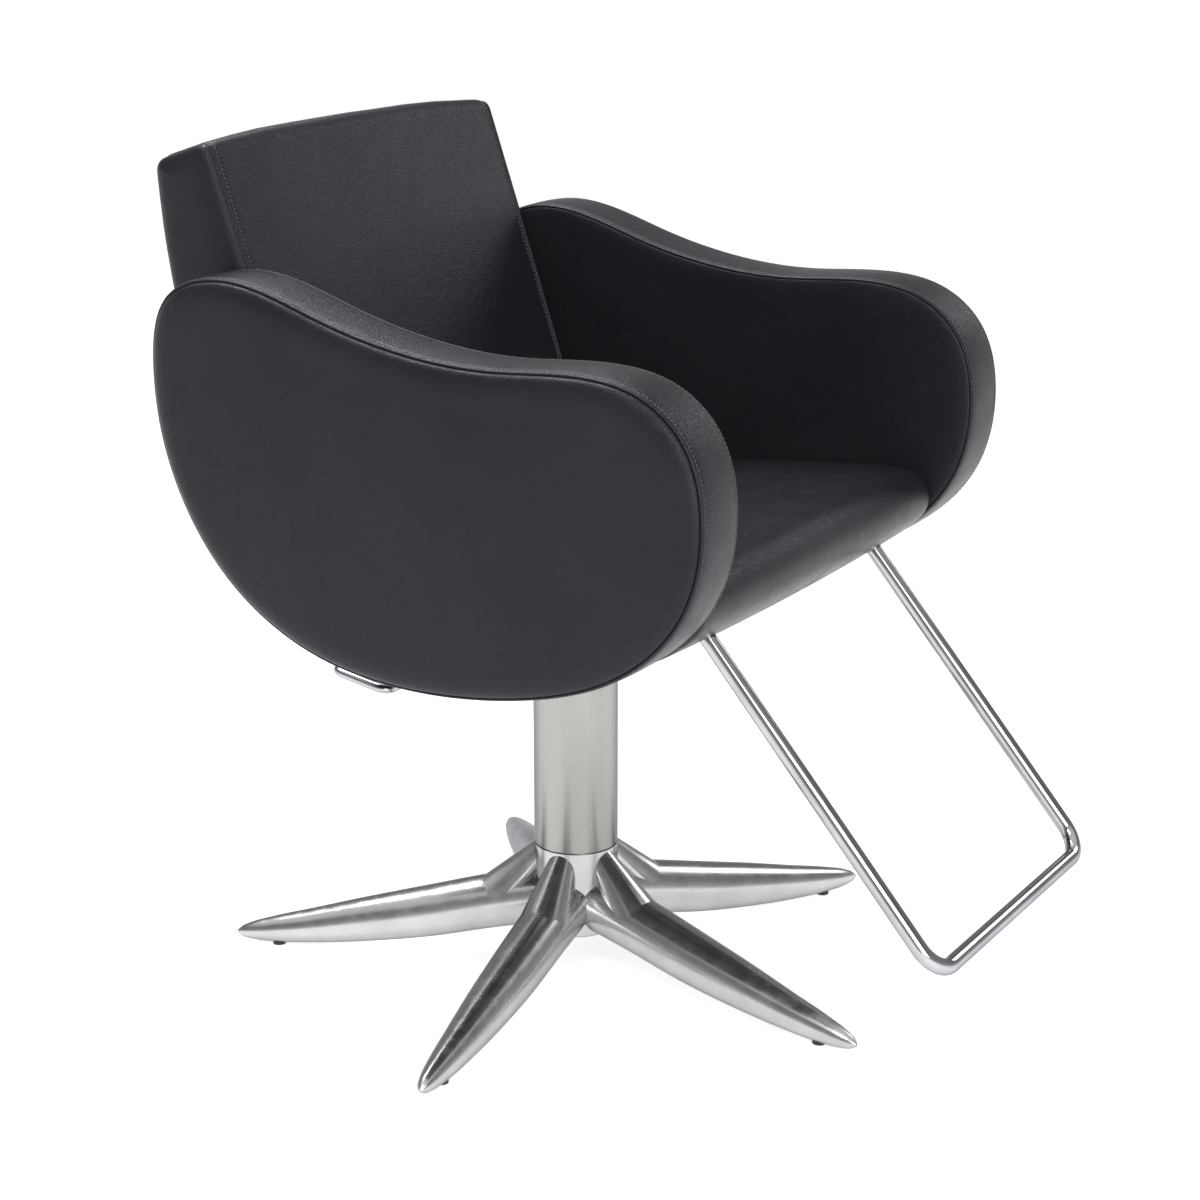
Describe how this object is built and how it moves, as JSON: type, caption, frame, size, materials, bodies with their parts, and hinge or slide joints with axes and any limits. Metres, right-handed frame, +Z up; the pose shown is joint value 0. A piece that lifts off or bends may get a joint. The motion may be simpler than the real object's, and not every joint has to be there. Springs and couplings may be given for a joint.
{
  "type": "styling chair",
  "caption": "Hydraulic salon styling chair: padded black seat and reclined back between two bean-shaped padded arms, on a pump column with a polished star base.",
  "frame": {"origin": "on the floor, under the middle of the chair's overall box", "axes": "+Z up, -Y the way the sitter faces, +X the sitter's left"},
  "size_m": [0.6442, 0.7745, 0.8122],
  "materials": {
    "leatherette": "satin",
    "polished_aluminium": "polished",
    "brushed_steel": "satin",
    "chrome": "polished",
    "black_paint": "satin",
    "black_plastic": "matte",
    "black_rubber": "matte",
    "plywood": "matte",
    "black_plywood": "matte"
  },
  "bodies": {
    "base": {"star_base": "polished_aluminium", "foot_glide_1": "black_plastic", "foot_glide_2": "black_plastic", "foot_glide_3": "black_plastic", "foot_glide_4": "black_plastic", "foot_glide_5": "black_plastic", "pump_cylinder": "black_paint", "base_washer": "brushed_steel", "base_nut": "brushed_steel", "column_tube": "brushed_steel", "cylinder_gland": "brushed_steel", "gland_wiper": "black_rubber", "column_cap": "black_plastic"},
    "lift": {"ram": "chrome", "piston_ring": "black_rubber", "swivel_bearing": "brushed_steel", "retaining_ring": "brushed_steel"},
    "plunger": {"pump_plunger": "brushed_steel"},
    "seat": {"pump_head": "black_paint", "lever_pin": "brushed_steel", "mount_bolt_1": "brushed_steel", "mount_bolt_2": "brushed_steel", "mount_bolt_3": "brushed_steel", "mount_bolt_4": "brushed_steel", "seat_board": "black_plywood", "under_seat_cover": "black_paint", "seat_cushion": "leatherette", "arm_bracket_left": "black_paint", "arm_bracket_right": "black_paint", "arm_bolt_left_front": "brushed_steel", "arm_bolt_left_rear": "brushed_steel", "arm_bolt_right_front": "brushed_steel", "arm_bolt_right_rear": "brushed_steel", "arm_core_left": "plywood", "arm_core_right": "plywood", "arm_outer_pad_left": "leatherette", "arm_outer_pad_right": "leatherette", "arm_inner_pad_left": "leatherette", "arm_inner_pad_right": "leatherette", "arm_band_left": "leatherette", "arm_band_right": "leatherette", "backrest_board": "plywood", "backrest_front_pad": "leatherette", "backrest_rear_pad": "leatherette", "backrest_bracket_left": "black_paint", "backrest_bracket_right": "black_paint", "footrest_bar": "chrome", "footrest_socket_left": "black_paint", "footrest_socket_right": "black_paint", "footrest_screw_left": "brushed_steel", "footrest_screw_right": "brushed_steel"},
    "lever": {"pump_lever": "chrome"}
  },
  "joints": [
    {"name": "lift", "type": "slide", "parent": "base", "child": "lift", "axis": [0, 0, 1], "range_m": [0, 0.14]},
    {"name": "swivel", "type": "hinge", "parent": "lift", "child": "seat", "pos_m": [0.017, 0.078, 0.338], "axis": [0, 0, 1], "continuous": true},
    {"name": "pump_lever", "type": "hinge", "parent": "seat", "child": "lever", "pos_m": [0.017, 0.05, 0.362], "axis": [1, 0, 0], "range_deg": [-15, 0], "stiffness_Nm_per_rad": 4, "springref_deg": 20.05},
    {"name": "plunger", "type": "slide", "parent": "lift", "child": "plunger", "axis": [0, 0, 1], "range_m": [-0.0077, 0]}
  ],
  "couplings": [
    {"joint": "plunger", "follows": "pump_lever", "m_per_rad": 0.0286}
  ]
}
